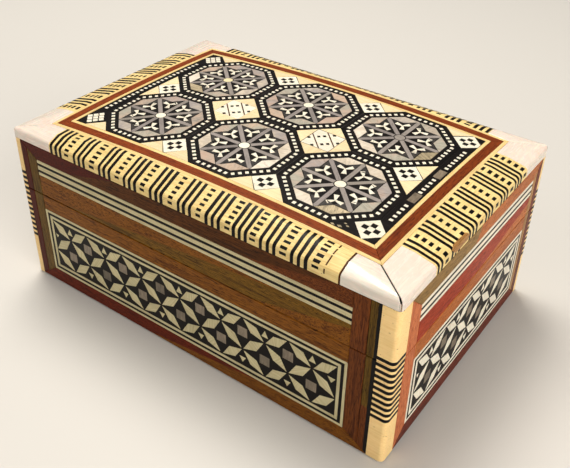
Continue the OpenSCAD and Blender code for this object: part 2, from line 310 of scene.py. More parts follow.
def wood(name, dark, light, streak, figure=1.0, contrast=0.16):
    """Lacquered veneer: long soft bands of colour, fine dark pores and a slight gloss."""
    made = Finish(name, **LACQUER)
    bands = made.noise(made.grain(0.03, 0.75), figure, 6, 0.6, 0.8)
    pores = made.noise(made.grain(0.35, 5), 1, 3, 0.6)
    fibre = made.noise(made.grain(0.12, 12), 1, 2, 0.7)
    colour = made.ramp(bands, (0.34, dark), (0.52, light), (0.68, dark))
    pore_mark = made.ramp(pores, (0.36, (1, 1, 1, 1)), (0.5, (0, 0, 0, 1)))
    colour = made.blend(pore_mark, colour, streak)
    brightness = made.range(made.tone(), 1 - contrast, 1 + contrast, -1, 1)
    fine = made.range(fibre, 0.7, 1.3, 0.3, 0.7)
    colour = made.shade(made.shade(colour, fine), brightness)
    made.link("Base Color", colour)
    made.link("Roughness", made.range(pores, 0.52, 0.34, 0.3, 0.6))
    made.bump(pores, 0.35)
    return made.material


def bone(name, shade_colour, light, contrast=0.05):
    """Polished bone: faint fibres and a little yellowing."""
    made = Finish(name, Subsurface_Weight=0.06, Subsurface_Scale=0.0006, **LACQUER)
    fibres = made.noise(made.grain(0.12, 2.2), 1, 4, 0.55, 0.3)
    age = made.noise(made.grain(0.09, 0.09), 1, 3)
    colour = made.ramp(fibres, (0.28, shade_colour), (0.6, light))
    colour = made.shade(colour, made.range(age, 0.9, 1.06, 0.3, 0.7))
    colour = made.shade(colour, made.range(made.tone(), 1 - contrast, 1 + contrast, -1, 1))
    specks = made.noise(made.grain(0.9, 0.9), 1, 2, 0.8)
    mark = made.ramp(specks, (0.66, (0, 0, 0, 1)), (0.74, (0.6, 0.6, 0.6, 1)))
    colour = made.blend(mark, colour, srgb(92, 62, 34))
    made.link("Base Color", colour)
    made.link("Roughness", made.range(fibres, 0.46, 0.3, 0.3, 0.7))
    made.bump(fibres, 0.15)
    return made.material


def ebony():
    """Black-dyed wood, with brown fibres that catch the light."""
    made = Finish("black_wood", **LACQUER)
    fibres = made.noise(made.grain(0.25, 4), 1, 4, 0.6)
    colour = made.ramp(fibres, (0.35, srgb(9, 7, 7)), (0.75, srgb(27, 22, 20)))
    colour = made.shade(colour, made.range(made.tone(), 0.7, 1.4, -1, 1))
    made.link("Base Color", colour)
    made.link("Roughness", made.range(fibres, 0.3, 0.5, 0.3, 0.7))
    made.bump(fibres, 0.4)
    return made.material


def shell(name, colours, gloss=0.22, streak=0.15):
    """Thin grey shell: the tone picks the hue, and growth lines run over each tile."""
    made = Finish(name, Coat_Weight=0.12, Coat_Roughness=0.12, Specular_IOR_Level=0.3)
    hue_place = made.range(made.tone(), 0, 1, -1, 1)
    stops = [(i / (len(colours) - 1), c) for i, c in enumerate(colours)]
    layers = made.noise(made.grain(0.25, 1.1), 1, 5, 0.6, 1.2)
    cloud = made.noise(made.grain(0.22, 0.22), 1, 2)
    drift = made.node("Math", {0: hue_place, 1: made.range(cloud, -0.08, 0.08, 0.3, 0.7)})
    colour = made.ramp(drift.outputs[0], *stops)
    colour = made.shade(colour, made.range(layers, 1 - streak, 1 + streak, 0.3, 0.7))
    made.link("Base Color", colour)
    made.link("Roughness", made.range(layers, gloss, gloss + 0.22, 0.3, 0.7))
    made.bump(layers, 0.3)
    return made.material


def pearl():
    """Thick mother-of-pearl plate: white, with faint pink and green clouds."""
    made = Finish(
        "pearl_plate",
        Coat_Weight=0.2,
        Coat_Roughness=0.16,
        Subsurface_Weight=0.12,
        Subsurface_Scale=0.001,
        Sheen_Weight=0.1,
    )
    cloud = made.noise(made.grain(0.12, 0.16), 1, 4, 0.5, 1.5)
    layers = made.noise(made.grain(0.1, 0.9), 1, 5, 0.6, 1.0)
    colour = made.ramp(
        cloud,
        (0.3, srgb(222, 200, 186)),
        (0.45, srgb(230, 212, 198)),
        (0.58, srgb(220, 208, 194)),
        (0.72, srgb(230, 206, 192)),
    )
    colour = made.shade(colour, made.range(layers, 0.96, 1.03, 0.3, 0.7))
    made.link("Base Color", colour)
    made.link("Roughness", made.range(layers, 0.18, 0.34, 0.3, 0.7))
    made.bump(layers, 0.15)
    return made.material


def softwood():
    """Plain carcass pine with growth rings."""
    made = Finish("carcass_softwood")
    place = made.space((25, 120, 900))
    rings = made.noise(place, 1, 4, 0.5, 0.6)
    fibres = made.noise(made.space((60, 900, 900)), 1, 3)
    colour = made.ramp(rings, (0.35, srgb(176, 132, 84)), (0.6, srgb(209, 171, 122)))
    made.link("Base Color", made.shade(colour, made.range(fibres, 0.85, 1.12, 0.3, 0.7)))
    made.link("Roughness", made.range(fibres, 0.6, 0.8))
    made.bump(fibres, 0.4, 0.1)
    return made.material


def brass(name, dull, bright):
    """Worn brass: brushed along the leaf, and darker in uneven patches."""
    made = Finish(name, Metallic=1.0)
    brushed = made.noise(made.space((120, 4000, 4000)), 1, 3, 0.6)
    stain = made.noise(made.space((260, 260, 260)), 1, 4, 0.6)
    colour = made.ramp(stain, (0.35, dull), (0.62, bright))
    made.link("Base Color", colour)
    made.link("Roughness", made.range(brushed, 0.28, 0.5, 0.3, 0.7))
    made.bump(brushed, 0.25, 0.02)
    return made.material


def velvet():
    """Dark red velvet: short pile that lies in uneven patches."""
    made = Finish("red_velvet", Sheen_Weight=0.35, Sheen_Roughness=0.5, Roughness=1.0,
                  Sheen_Tint=srgb(190, 60, 60), Specular_IOR_Level=0.1)
    pile = made.noise(made.space((2600, 2600, 2600)), 1, 3, 0.7)
    patch = made.noise(made.space((70, 70, 70)), 1, 3, 0.5, 0.8)
    colour = made.ramp(patch, (0.3, srgb(98, 10, 18)), (0.7, srgb(124, 16, 26)))
    made.link("Base Color", made.shade(colour, made.range(pile, 0.7, 1.3, 0.3, 0.7)))
    made.bump(pile, 0.8, 0.15)
    return made.material


def felt():
    """Thin green felt: matted fibres."""
    made = Finish("green_felt", Sheen_Weight=0.4, Roughness=0.97)
    fibres = made.noise(made.space((1800, 1800, 1800)), 1, 4, 0.75, 0.8)
    patch = made.noise(made.space((90, 90, 90)), 1, 2)
    colour = made.ramp(fibres, (0.35, srgb(20, 62, 38)), (0.65, srgb(46, 98, 62)))
    made.link("Base Color", made.shade(colour, made.range(patch, 0.85, 1.1, 0.3, 0.7)))
    made.bump(fibres, 0.7, 0.1)
    return made.material


FINISHES = {
    "black": ebony(),
    "cream": bone("cream_bone", srgb(206, 172, 108), srgb(230, 203, 143)),
    "band": bone("band_bone", srgb(210, 178, 112), srgb(234, 209, 146)),
    "stick": bone("stick_bone", srgb(234, 196, 132), srgb(244, 210, 148)),
    "ivory": bone("ivory_bone", srgb(200, 184, 142), srgb(226, 212, 174)),
    # A darker copy of the ivory bone: painted shade, for the front and back panels and their lid
    # stringing.
    "shaded_ivory": bone("shaded_ivory_bone", srgb(176, 162, 122), srgb(204, 192, 152)),
    "white": bone("white_bone", srgb(214, 203, 180), srgb(236, 228, 210)),
    "peach": bone("peach_bone", srgb(206, 160, 118), srgb(232, 192, 150)),
    "pale": bone("pale_bone", srgb(214, 190, 146), srgb(232, 211, 170)),
    "spoke": shell("spoke_shell", (srgb(126, 118, 114), srgb(148, 139, 134), srgb(136, 128, 119))),
    "petal": shell(
        "petal_shell",
        (
            srgb(148, 140, 130),
            srgb(192, 166, 144),
            srgb(162, 158, 144),
            srgb(184, 158, 140),
            srgb(152, 144, 140),
            srgb(198, 184, 164),
            srgb(222, 212, 196),
        ),
    ),
    "slate": shell("slate_shell", (srgb(22, 20, 19), srgb(52, 47, 43)), 0.3, 0.6),
    "square": shell("square_shell", (srgb(84, 74, 60), srgb(126, 112, 94), srgb(102, 92, 76)), 0.3, 0.4),
    "worn": shell("worn_shell", (srgb(148, 134, 106), srgb(174, 158, 128)), 0.4, 0.6),
    "mahogany": wood("mahogany", srgb(98, 40, 14), srgb(128, 58, 22), srgb(72, 26, 8)),
    "foot": wood("foot_mahogany", srgb(68, 18, 4), srgb(112, 36, 9), srgb(34, 8, 2)),
    "darkred": wood("dark_red_wood", srgb(58, 12, 2), srgb(86, 22, 5), srgb(32, 6, 1)),
    "umber": wood("dark_walnut", srgb(48, 25, 4), srgb(90, 48, 10), srgb(24, 11, 2)),
    "walnut": wood("golden_walnut", srgb(88, 46, 6), srgb(136, 82, 18), srgb(44, 21, 2)),
    "olive": wood("olive_wood", srgb(70, 48, 8), srgb(104, 76, 20), srgb(40, 26, 4)),
    "golden": wood("golden_olive", srgb(74, 48, 6), srgb(120, 84, 18), srgb(38, 22, 2)),
    "rosewood": wood("rosewood", srgb(80, 36, 8), srgb(112, 58, 18), srgb(42, 16, 4)),
    "padauk": wood("padauk", srgb(166, 84, 46), srgb(198, 116, 70), srgb(124, 52, 26)),
    "redpadauk": wood("red_padauk", srgb(128, 34, 4), srgb(160, 52, 9), srgb(84, 18, 2)),
    "orange": wood("orange_wood", srgb(150, 76, 26), srgb(186, 108, 48), srgb(104, 46, 14)),
    "mottled": wood("mottled_olive", srgb(112, 82, 34), srgb(152, 118, 64), srgb(72, 52, 26), 3.0),
    "tan": wood("tan_wood", srgb(138, 94, 48), srgb(170, 126, 76), srgb(94, 60, 26)),
    "pearl": pearl(),
}
SOFTWOOD = softwood()
HINGE_BRASS = brass("hinge_brass", srgb(132, 98, 44), srgb(206, 168, 92))
SCREW_BRASS = brass("screw_brass", srgb(148, 116, 62), srgb(222, 190, 118))
VELVET = velvet()
FELT = felt()


# ---- Outlines ----


def rectangle(u0, v0, u1, v1):
    return [(u0, v0), (u1, v0), (u1, v1), (u0, v1)]


def bar(start, end, width, end_width=None):
    """A straight bar, or one that flares towards its end."""
    (ax, ay), (bx, by) = start, end
    far = math.hypot(bx - ax, by - ay)
    across = Vector((-(by - ay), bx - ax)) / far / 2
    first = across * width
    last = across * (width if end_width is None else end_width)
    return [
        (ax + first.x, ay + first.y),
        (ax - first.x, ay - first.y),
        (bx - last.x, by - last.y),
        (bx + last.x, by + last.y),
    ]


def polar(centre, radius, degrees):
    angle = math.radians(degrees)
    return (centre[0] + radius * math.cos(angle), centre[1] + radius * math.sin(angle))


def lozenge(centre, half_u, half_v=None):
    half_v = half_u if half_v is None else half_v
    u, v = centre
    return [(u - half_u, v), (u, v - half_v), (u + half_u, v), (u, v + half_v)]


def disc(centre, radius, sides=20):
    return [polar(centre, radius, 360 * i / sides) for i in range(sides)]


def area(outline):
    pairs = zip(outline, outline[1:] + outline[:1])
    return sum(a[0] * b[1] - b[0] * a[1] for a, b in pairs) / 2


def inset(outline, amount):
    """A convex outline with every edge moved inwards."""
    moved = []
    for i, here in enumerate(outline):
        before = Vector(here) - Vector(outline[i - 1])
        after = Vector(outline[(i + 1) % len(outline)]) - Vector(here)
        before.normalize()
        after.normalize()
        turn = 1 + before.dot(after)
        shift = (Vector((-before.y, before.x)) + Vector((-after.y, after.x))) / max(turn, 0.2)
        moved.append(tuple(Vector(here) + shift * amount))
    return moved


def clipped(outline, axis, limit, keep):
    """The part of a convex outline on one side of a line across u (0) or v (1)."""
    kept = []
    for i, here in enumerate(outline):
        before = outline[i - 1]
        inside = (here[axis] - limit) * keep >= 0
        if inside != ((before[axis] - limit) * keep >= 0):
            share = (limit - before[axis]) / (here[axis] - before[axis])
            kept.append(tuple(b + share * (a - b) for a, b in zip(here, before)))
        if inside:
            kept.append(here)
    return kept


def steps(low, high, step=BEND_STEP):
    """Places between low and high at which a long tile has to bend."""
    count = max(1, round((high - low) / step))
    return [low + (high - low) * i / count for i in range(1, count)]


# ---- Making pieces ----


def fill_holes_after_cut(mesh, result):
    edges = [e for e in result["geom_cut"] if isinstance(e, bmesh.types.BMEdge)]
    bmesh.ops.holes_fill(mesh, edges=edges)


def bevel_back_edge(mesh, body):
    """Trims the back of a piece at the hinge axis, as the CAD's back bevel does. In metres."""
    up = 1 if body == "base" else -1
    result = bmesh.ops.bisect_plane(
        mesh,
        geom=mesh.verts[:] + mesh.edges[:] + mesh.faces[:],
        plane_co=(0, HINGE_Y * MM, HINGE_Z * MM),
        plane_no=(0, math.sin(BEVEL_ANGLE), up * math.cos(BEVEL_ANGLE)),
        clear_outer=True,
    )
    fill_holes_after_cut(mesh, result)


def add_piece(name, mesh, materials, body, nodes=(), slot=None, smooth_below=40):
    """Turns a bmesh in metres into a piece that rides on a body."""
    bmesh.ops.recalc_face_normals(mesh, faces=mesh.faces[:])
    data = bpy.data.meshes.new(name)
    mesh.to_mesh(data)
    mesh.free()
    for material in materials:
        data.materials.append(material)
    data.polygons.foreach_set("use_smooth", [True] * len(data.polygons))
    data.set_sharp_from_angle(angle=math.radians(smooth_below))
    piece = bpy.data.objects.new(name, data)
    bpy.context.scene.collection.objects.link(piece)
    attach(piece, body)
    if nodes:
        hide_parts(*nodes)
    return piece


class Marquetry:
    """Tiles laid flat in u and v, with h the height over the surface."""

    def __init__(self, seed):
        self.chance = random.Random(seed)
        self.mesh = bmesh.new()
        self.grain = self.mesh.verts.layers.float_vector.new("grain")
        self.tone = self.mesh.verts.layers.float.new("tone")
        self.finishes = []

    def tile(self, outline, finish, angle=0, tone=None, lift=0.0, depth=TILE_DEPTH,
             gap=GLUE_GAP, bevel=TILE_BEVEL):
        """One closed tile with eased top edges. angle is the way its grain runs."""
        if len(outline) < 3:
            return
        outline = outline if area(outline) > 0 else outline[::-1]
        outline = inset(outline, gap / 2)
        if finish not in self.finishes:
            self.finishes.append(finish)
        tone = self.chance.uniform(-1, 1) if tone is None else tone
        start_u = self.chance.uniform(0, 400)
        start_v = self.chance.uniform(0, 400)
        cos_a = math.cos(math.radians(angle))
        sin_a = math.sin(math.radians(angle))
        rings = []
        for points, height in (
            (outline, lift - depth),
            (outline, lift - bevel),
            (inset(outline, bevel), lift),
        ):
            ring = []
            for u, v in points:
                vert = self.mesh.verts.new((u, v, height))
                vert[self.grain] = (
                    cos_a * u + sin_a * v + start_u,
                    cos_a * v - sin_a * u + start_v,
                    height,
                )
                vert[self.tone] = tone
                ring.append(vert)
            rings.append(ring)
        faces = [self.mesh.faces.new(rings[0][::-1]), self.mesh.faces.new(rings[-1])]
        for lower, upper in zip(rings, rings[1:]):
            for i in range(len(lower)):
                faces.append(self.mesh.faces.new((lower[i - 1], lower[i], upper[i], upper[i - 1])))
        for face in faces:
            face.material_index = self.finishes.index(finish)

    def ground(self, outline, finish="black", drop=GROUND_DROP, depth=TILE_DEPTH):
        """The sheet that the tiles are set into."""
        self.tile(outline, finish, lift=-drop, depth=depth, gap=0, tone=0)

    def piece(self, name, surface, body, nodes=(), slot="bone", u_cuts=(), v_cuts=(), bevelled=False):
        """Bends the tiles over a surface and makes one piece of them."""
        for places, normal in ((u_cuts, Vector((1, 0, 0))), (v_cuts, Vector((0, 1, 0)))):
            for place in places:
                bmesh.ops.bisect_plane(
                    self.mesh,
                    geom=self.mesh.verts[:] + self.mesh.edges[:] + self.mesh.faces[:],
                    plane_co=normal * place,
                    plane_no=normal,
                )
        for vert in self.mesh.verts:
            vert.co = surface(*vert.co) * MM
        if bevelled:
            bevel_back_edge(self.mesh, body)
        materials = [FINISHES[finish] for finish in self.finishes]
        return add_piece(name, self.mesh, materials, body, nodes, slot)


# ---- The mosaic on the lid ----

PITCH = 2 * MOSAIC_Y / 2
OCTAGON_COLUMNS = (-PITCH, 0, PITCH)
OCTAGON_ROWS = (-PITCH / 2, PITCH / 2)
APOTHEM = PITCH / 2
DOT_RING_OUT = APOTHEM - 1.25
DOT_RING_IN = DOT_RING_OUT - 1.5
PEARL_APOTHEM = DOT_RING_IN - 1.1
HALF_TURN = 22.5
VERTEX_STRETCH = 1 / math.cos(math.radians(HALF_TURN))
DASHES_PER_SIDE = 6
DASH_WIDTH = 1.1
DASH_LENGTH = 1.2
HUB_RADIUS = 1.8
DIAMOND_HALF = APOTHEM * (2 - math.sqrt(2))
SMALL_DIAMOND_HALF = DIAMOND_HALF / 2 - 0.1
FIELD_END = 1.5 * PITCH
CROSS_SQUARE = 1.85
LACE_STROKE = 2.5
LACE_LENGTH = 9.6
LACE_FRAME = 0.3
LACE_SQUARES = (0.95, 4.2)
MARK_RISE = 0.02
# Medallions, by column and row, that have lost the polish of one petal.
WORN_PETALS = {(2, 0): 6, (0, 1): 5, (2, 1): 7}
# Medallions whose hub isn't white bone.
HUB_FINISHES = {(0, 1): "ivory", (2, 1): "spoke"}
JOINT_WIDTH = 0.22


def octagon_ring(work, centre, inner, outer, finish):
    """Eight mitred bars between two octagons."""
    for k in range(8):
        low = 45 * k - HALF_TURN
        high = low + 45
        outline = [
            polar(centre, inner * VERTEX_STRETCH, low),
            polar(centre, outer * VERTEX_STRETCH, low),
            polar(centre, outer * VERTEX_STRETCH, high),
            polar(centre, inner * VERTEX_STRETCH, high),
        ]
        work.tile(outline, finish, angle=low + HALF_TURN + 90)


def dash_ring(work, centre):
    """The ring of short bone dashes on black."""
    middle = (DOT_RING_IN + DOT_RING_OUT) / 2
    side = 2 * middle * math.tan(math.radians(HALF_TURN))
    pitch = side / (DASHES_PER_SIDE + 0.15)
    for k in range(8):
        for i in range(DASHES_PER_SIDE):
            along = (i - (DASHES_PER_SIDE - 1) / 2) * pitch
            foot = polar(polar(centre, middle - DASH_LENGTH / 2, 45 * k), along, 45 * k + 90)
            head = polar(polar(centre, middle + DASH_LENGTH / 2, 45 * k), along, 45 * k + 90)
            work.tile(bar(foot, head, DASH_WIDTH), "white", gap=0.02)


def white_y(work, centre, degrees):
    """Three flared arms between two spokes."""
    hub = polar(centre, 8.5, degrees)
    for turn in (180, -60, 60):
        start = polar(hub, 0.12, degrees + turn)
        end = polar(hub, 2.75, degrees + turn)
        work.tile(bar(start, end, 0.5, 1.75), "white", gap=0, angle=degrees + turn)


def pearl_petal(work, centre, k, finish="petal"):
    """The rhombus of shell in one corner of the octagon."""
    apothem = PEARL_APOTHEM
    first = polar(centre, apothem, 45 * k)
    corner = polar(centre, apothem * VERTEX_STRETCH, 45 * k + HALF_TURN)
    last = polar(centre, apothem, 45 * k + 45)
    inner = (first[0] + last[0] - corner[0], first[1] + last[1] - corner[1])
    work.tile([first, corner, last, inner], finish, angle=45 * k + 20)


def spoke(work, centre, degrees):
    """A shell spoke with a dark sliver of shell on each side of its tip."""
    half = 0.78
    tip = PEARL_APOTHEM - 0.1
    outline = []
    for radius, across in ((2, -half), (tip - half, -half), (tip, 0), (tip - half, half), (2, half)):
        outline.append(polar(polar(centre, radius, degrees), across, degrees + 90))
    work.tile(outline, "spoke", angle=degrees)
    petal_foot = PEARL_APOTHEM * VERTEX_STRETCH * math.sin(math.radians(HALF_TURN))
    for hand in (-1, 1):
        corners = ((tip - 1.0, half), (tip - petal_foot * 0.72, petal_foot * 0.72), (8.9, half))
        points = [
            polar(polar(centre, radius, degrees), hand * across, degrees + 90)
            for radius, across in corners
        ]
        work.tile(points, "slate", angle=degrees, gap=0.12)


def medallion(work, centre, hub_finish, worn_petal=None):
    octagon_ring(work, centre, DOT_RING_OUT, APOTHEM - 0.1, "black")
    octagon_ring(work, centre, PEARL_APOTHEM, DOT_RING_IN, "black")
    dash_ring(work, centre)
    for k in range(8):
        pearl_petal(work, centre, k, "worn" if k == worn_petal else "petal")
        spoke(work, centre, 45 * k)
        white_y(work, centre, 45 * k + HALF_TURN)
    work.tile(disc(centre, HUB_RADIUS), hub_finish)


def dotted_diamond(work, centre, clip=None):
    """A white square on its corner with four black squares in a cross."""
    outlines = [(lozenge(centre, SMALL_DIAMOND_HALF), "white", -MARK_RISE)]
    half = CROSS_SQUARE / 2
    for u, v in ((1, 0), (-1, 0), (0, 1), (0, -1)):
        middle = (centre[0] + u * CROSS_SQUARE, centre[1] + v * CROSS_SQUARE)
        square = rectangle(middle[0] - half, middle[1] - half, middle[0] + half, middle[1] + half)
        outlines.append((square, "black", 0))
    for outline, finish, lift in outlines:
        if clip:
            outline = clipped(outline, *clip)
        work.tile(outline, finish, lift=lift, gap=0.04)


def lace_diamond(work, centre, framed):
    """The white square between four octagons, with two strokes and eight small squares."""
    half = DIAMOND_HALF / 2
    u, v = centre
    work.tile(rectangle(u - half, v - half, u + half, v + half), "white", lift=-MARK_RISE)
    for turn in range(4):
        tip = polar(centre, DIAMOND_HALF - 0.1, 90 * turn)
        first = polar(centre, half * math.sqrt(2), 90 * turn - 45)
        last = polar(centre, half * math.sqrt(2), 90 * turn + 45)
        work.tile([tip, last, first], "pale", angle=90 * turn)
    if framed:
        for turn in range(4):
            corners = [polar(centre, half * math.sqrt(2), 90 * turn + 45 + 90 * i) for i in (0, 1)]
            work.tile(bar(*corners, LACE_FRAME), "umber", gap=0, angle=90 * turn)
    slant = 45
    for hand in (-1, 1):
        middle = polar(centre, hand * LACE_STROKE, slant)
        reach_out = LACE_LENGTH / 2
        ends = polar(middle, reach_out, slant + 90), polar(middle, -reach_out, slant + 90)
        work.tile(bar(*ends, 0.5), "umber", gap=0, angle=slant + 90)
        for out in LACE_SQUARES:
            for along in (-LACE_STROKE, LACE_STROKE):
                foot = polar(polar(centre, hand * out, slant), along - 0.6, slant + 90)
                head = polar(polar(centre, hand * out, slant), along + 0.6, slant + 90)
                work.tile(bar(foot, head, 1.1), "black", gap=0)


def edge_diamond(work, along, edge):
    """The half diamond against the front or the back edge of the mosaic."""
    far = edge * MOSAIC_Y
    middle = edge * (MOSAIC_Y - SMALL_DIAMOND_HALF - 0.05)
    dotted_diamond(work, (along, middle))
    for hand in (-1, 1):
        outline = [
            (along + hand * 0.3, far),
            (along + hand * (DIAMOND_HALF - 0.3), far),
            (along + hand * DIAMOND_HALF / 2, edge * (MOSAIC_Y - DIAMOND_HALF / 2)),
        ]
        work.tile(outline, "pale")


def end_diamond(work, hand):
    """The half diamond against the strip at one end of the mosaic."""
    tip = hand * (FIELD_END - DIAMOND_HALF)
    dotted_diamond(work, (tip + hand * (SMALL_DIAMOND_HALF + 0.1), 0))
    for up in (-1, 1):
        outline = [
            (hand * (FIELD_END - 0.1), up * 0.3),
            (hand * (FIELD_END - 0.1), up * (DIAMOND_HALF - 0.3)),
            (tip + hand * DIAMOND_HALF / 2, up * DIAMOND_HALF / 2),
        ]
        work.tile(outline, "pale")


def mosaic_corner(work, hand, edge, chequered):
    """The small diamond and cream triangle in a corner of the mosaic."""
    centre = (hand * (MOSAIC_X - 4.15), edge * (MOSAIC_Y - 5.1))
    if chequered:
        for i in range(-1, 2):
            for j in range(-1, 2):
                spot = (centre[0] + (i - j) * 1.35, centre[1] + (i + j) * 1.45)
                work.tile(lozenge(spot, 1.2, 1.1), "white", gap=0)
    else:
        dotted_diamond(work, centre, (0, hand * (MOSAIC_X - 0.1), -hand))
    corner = 1.5 * PITCH - APOTHEM * (2 - math.sqrt(2))
    outline = [
        (hand * (corner + 0.4), edge * MOSAIC_Y),
        (hand * (MOSAIC_X - 4.6), edge * MOSAIC_Y),
        (hand * (corner + 5.1), edge * (MOSAIC_Y - 4.6)),
    ]
    if hand > 0 and edge < 0:
        # This triangle has crumbled on the real box: only flecks of it are left.
        for u, v, size in ((0.5, 0.6, 0.7), (2.6, 0.9, 0.9), (4.4, 2.2, 0.6), (3.3, 2.9, 0.5)):
            spot = (corner + 0.6 + u, -MOSAIC_Y + v)
            work.tile(lozenge(spot, size, size * 0.6), "worn", gap=0)
    else:
        work.tile(outline, "pale")


def end_strip(work, hand):
    """The black strip with bone dashes at one end of the mosaic."""
    dash_u = hand * (MOSAIC_X - 1.9)
    tile_v = 2.15
    for i in range(-11, 12):
        v = i * tile_v
        bare = hand > 0 and (3.6 < v < 9 or -13 < v < -7)
        if not bare:
            work.tile(rectangle(dash_u - 0.6, v - 0.5, dash_u + 0.6, v + 0.5), "white", gap=0)
    line_u = hand * (FIELD_END + 0.95)
    work.tile(rectangle(line_u - 0.7, -25, line_u + 0.7, 25), "black", angle=90)
    if hand > 0:
        for v in (6.3, -10):
            patch = rectangle(dash_u - 1.3, v - 2.6, dash_u + 1.3, v + 2.6)
            work.tile(patch, "square", angle=90)


def make_top_mosaic():
    work = Marquetry(11)
    work.ground(rectangle(-MOSAIC_X, -MOSAIC_Y, MOSAIC_X, MOSAIC_Y), depth=2)
    for i, u in enumerate(OCTAGON_COLUMNS):
        for j, v in enumerate(OCTAGON_ROWS):
            medallion(work, (u, v), HUB_FINISHES.get((i, j), "white"), WORN_PETALS.get((i, j)))
    for u in (-APOTHEM, APOTHEM):
        lace_diamond(work, (u, 0), framed=u > 0)
        for edge in (-1, 1):
            edge_diamond(work, u, edge)
    side = APOTHEM * math.tan(math.radians(HALF_TURN)) - 0.2
    for u in (-APOTHEM, APOTHEM):
        for v in OCTAGON_ROWS:
            work.tile(bar((u, v - side), (u, v + side), JOINT_WIDTH), "slate", gap=0, lift=0.01)
    for u in OCTAGON_COLUMNS:
        work.tile(bar((u - side, 0), (u + side, 0), JOINT_WIDTH), "slate", gap=0, lift=0.01)
    for hand in (-1, 1):
        end_diamond(work, hand)
        end_strip(work, hand)
        for edge in (-1, 1):
            mosaic_corner(work, hand, edge, hand < 0)
    work.piece("top_mosaic_inlay", lid_surface, "lid", ["top_mosaic"], "top_mosaic",
               steps(-MOSAIC_X, MOSAIC_X), steps(-MOSAIC_Y, MOSAIC_Y))


def frame_bars(half_u, half_v, width):
    """Four mitred outlines round a rectangle, each with the way its grain runs."""
    inner_u = half_u - width
    inner_v = half_v - width
    for hand in (-1, 1):
        yield [(-half_u, hand * half_v), (half_u, hand * half_v),
               (inner_u, hand * inner_v), (-inner_u, hand * inner_v)], 0
        yield [(hand * half_u, -half_v), (hand * half_u, half_v),
               (hand * inner_u, inner_v), (hand * inner_u, -inner_v)], 90


def make_lid_frames():
    line = (CENTRE_X - MOSAIC_X) * 1.25 / 5.7
    inlay = (("outer_cream_frame", "cream", 0, "bone", 21),
             ("mahogany_frame", "mahogany", line, "mahogany", 22),
             ("inner_cream_frame", "cream", CENTRE_X - MOSAIC_X - line, "bone", 23))
    for node, finish, inset_by, slot, seed in inlay:
        work = Marquetry(seed)
        width = CENTRE_X - MOSAIC_X - 2 * line if finish == "mahogany" else line
        for outline, angle in frame_bars(CENTRE_X - inset_by, CENTRE_Y - inset_by, width):
            work.tile(outline, finish, angle, depth=2)
        work.piece(node + "_inlay", lid_surface, "lid", [node], slot,
                   steps(-CENTRE_X, CENTRE_X), steps(-CENTRE_Y, CENTRE_Y))


# ---- Border bands and pearl corners ----

BAR_WIDTH = 1.15
BAR_PITCH = 2.2
BARS_BETWEEN = 3
COLUMN_TO_BAR = 2.9
DOT_WIDTH = 1.95
DOTS_ON_SLOPE = 4.4
DOT_SHARE = 0.5
THIN_LINE = 0.45
# Middles of the dotted columns, set by eye on the real box, so their spacing wanders.
DOT_COLUMNS = {
    FRONT: (-48.1, -36.4, -25, -14.3, -2.9, 8, 18.8, 27.8, 38.2, 48.7),
    RIGHT: (-25.3, -14.2, -3.4, 7.8, 18.9, 29.4),
    BACK: (-48.5, -37.5, -26.8, -16, -5.2, 5.8, 16.4, 27.3, 38, 48.6),
    LEFT: (-25.8, -14.8, -3.8, 7.2, 18.4, 29),
}


def dotted_column(work, middle, band):
    """Black squares down the middle of a wide bone bar."""
    pitch = band.arc_start / DOTS_ON_SLOPE
    half = DOT_WIDTH / 2 * work.chance.uniform(0.85, 1.15)
    s = work.chance.uniform(0.3, 0.9)
    while s + pitch * DOT_SHARE < band.arc_end + pitch:
        high = s + pitch * DOT_SHARE * work.chance.uniform(0.9, 1.15)
        work.tile(rectangle(middle - half, s, middle + half, high), "black", gap=0)
        s += pitch


def bar_places(columns, end, open_end):
    """Middles of the plain bars: three between two columns, and as many as fit at the ends."""
    places = []
    for left, right in zip(columns, columns[1:]):
        centre = (left + right) / 2
        first = centre - (BARS_BETWEEN - 1) / 2 * BAR_PITCH
        places += [first + i * BAR_PITCH for i in range(BARS_BETWEEN)]
    for hand, column in ((-1, columns[0]), (1, columns[-1])):
        u = abs(column) + COLUMN_TO_BAR
        while u < end - BAR_WIDTH / 2 and not (hand > 0 and open_end):
            places.append(hand * u)
            u += BAR_PITCH
    return places


def make_band(side):
    band = Band(side)
    work = Marquetry(31 + side)
    end = half_length(side) - PEARL_LENGTH
    work.ground(rectangle(-end, 0, end, band.length), "band", GROUND_DROP, 1.6)
    columns = DOT_COLUMNS[side]
    for middle in columns:
        dotted_column(work, middle, band)
    for u in bar_places(columns, end, side == FRONT):
        lean = work.chance.uniform(-0.12, 0.12)
        outline = bar((u, 0), (u + lean, band.length), BAR_WIDTH * work.chance.uniform(0.9, 1.1))
        work.tile(outline, "black", angle=90, gap=0)
    if side == FRONT:
        # At this end the bars stop early: a thin broken line, then glue against the pearl.
        u = columns[-1] + COLUMN_TO_BAR
        for start, stop in ((0, 1.4), (2.1, 4.6), (5, 8.3), (9.4, 11)):
            work.tile(bar((u, start), (u, stop), THIN_LINE), "umber", angle=90, gap=0)
        work.tile(rectangle(end - THIN_LINE, 0, end, band.length), "umber", angle=90, gap=0)
    if side == RIGHT:
        # The edge of the bone has chipped away here and shows the wood behind.
        chip = [(-22.5, band.arc_end - 0.9), (-20.5, band.arc_start + 0.3),
                (-13, band.arc_start + 0.5), (-11.2, band.arc_end), (-12.4, band.arc_end + 1.2),
                (-20, band.arc_end + 1.4)]
        work.tile(chip, "tan", lift=MARK_RISE, gap=0)
    work.piece(f"border_band_{SIDES[side]}_inlay", band.surface, "lid",
               [f"border_band_{SIDES[side]}"], "striped_bone",
               steps(-end, end, EDGE_STEP), steps(0, band.arc_start, EDGE_STEP / 2) + band.cuts())


PEARL_THICK = 1.9
OPEN_JOINT = 0.5
CRACK_DEPTH = 0.1


